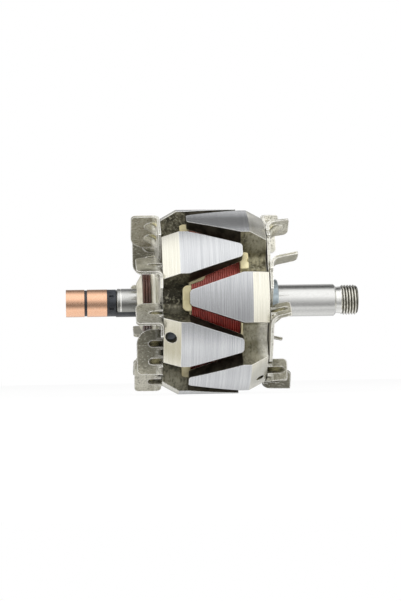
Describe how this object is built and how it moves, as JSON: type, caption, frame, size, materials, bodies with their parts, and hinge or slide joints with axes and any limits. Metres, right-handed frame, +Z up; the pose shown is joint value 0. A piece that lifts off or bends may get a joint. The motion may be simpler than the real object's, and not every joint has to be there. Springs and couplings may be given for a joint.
{
  "type": "alternator rotor",
  "caption": "Claw-pole rotor of a vehicle alternator: shaft with threaded drive end, interleaved pole claws round a red field coil, stamped fans and slip rings.",
  "frame": {"origin": "on the shaft's axis, in the plane where the two pole halves meet", "axes": "+X along the shaft towards the threaded drive end, +Z up as it lies in the picture"},
  "size_m": [0.1552, 0.098, 0.098],
  "materials": {
    "shaft_steel": "ground, bright",
    "pole_steel": "forged, turned on the outside",
    "fan_steel": "stamped, dull",
    "spacer_zinc": "zinc plated",
    "ring_copper": "turned copper",
    "winding": "enamelled copper wire",
    "bobbin_plastic": "moulded",
    "insulator": "moulded, satin",
    "spool_plastic": "moulded",
    "lead_wire": "enamelled copper wire",
    "sleeving": "varnished sleeving",
    "solder": "soft solder"
  },
  "bodies": {
    "root": {"shaft": "shaft_steel", "front_pole": "pole_steel", "rear_pole": "pole_steel", "pole_core": "pole_steel", "field_coil": "winding", "coil_bobbin": "bobbin_plastic", "front_fan": "fan_steel", "rear_fan": "fan_steel", "front_spacer": "spacer_zinc", "slip_ring_outer": "ring_copper", "slip_ring_inner": "ring_copper", "slip_ring_moulding": "insulator", "outer_ring_conductor": "ring_copper", "inner_ring_conductor": "ring_copper", "terminal_spool": "spool_plastic", "start_lead": "lead_wire", "finish_lead": "lead_wire", "start_lead_sleeve": "sleeving", "finish_lead_sleeve": "sleeving", "outer_solder_joint": "solder", "inner_solder_joint": "solder"}
  },
  "joints": []
}
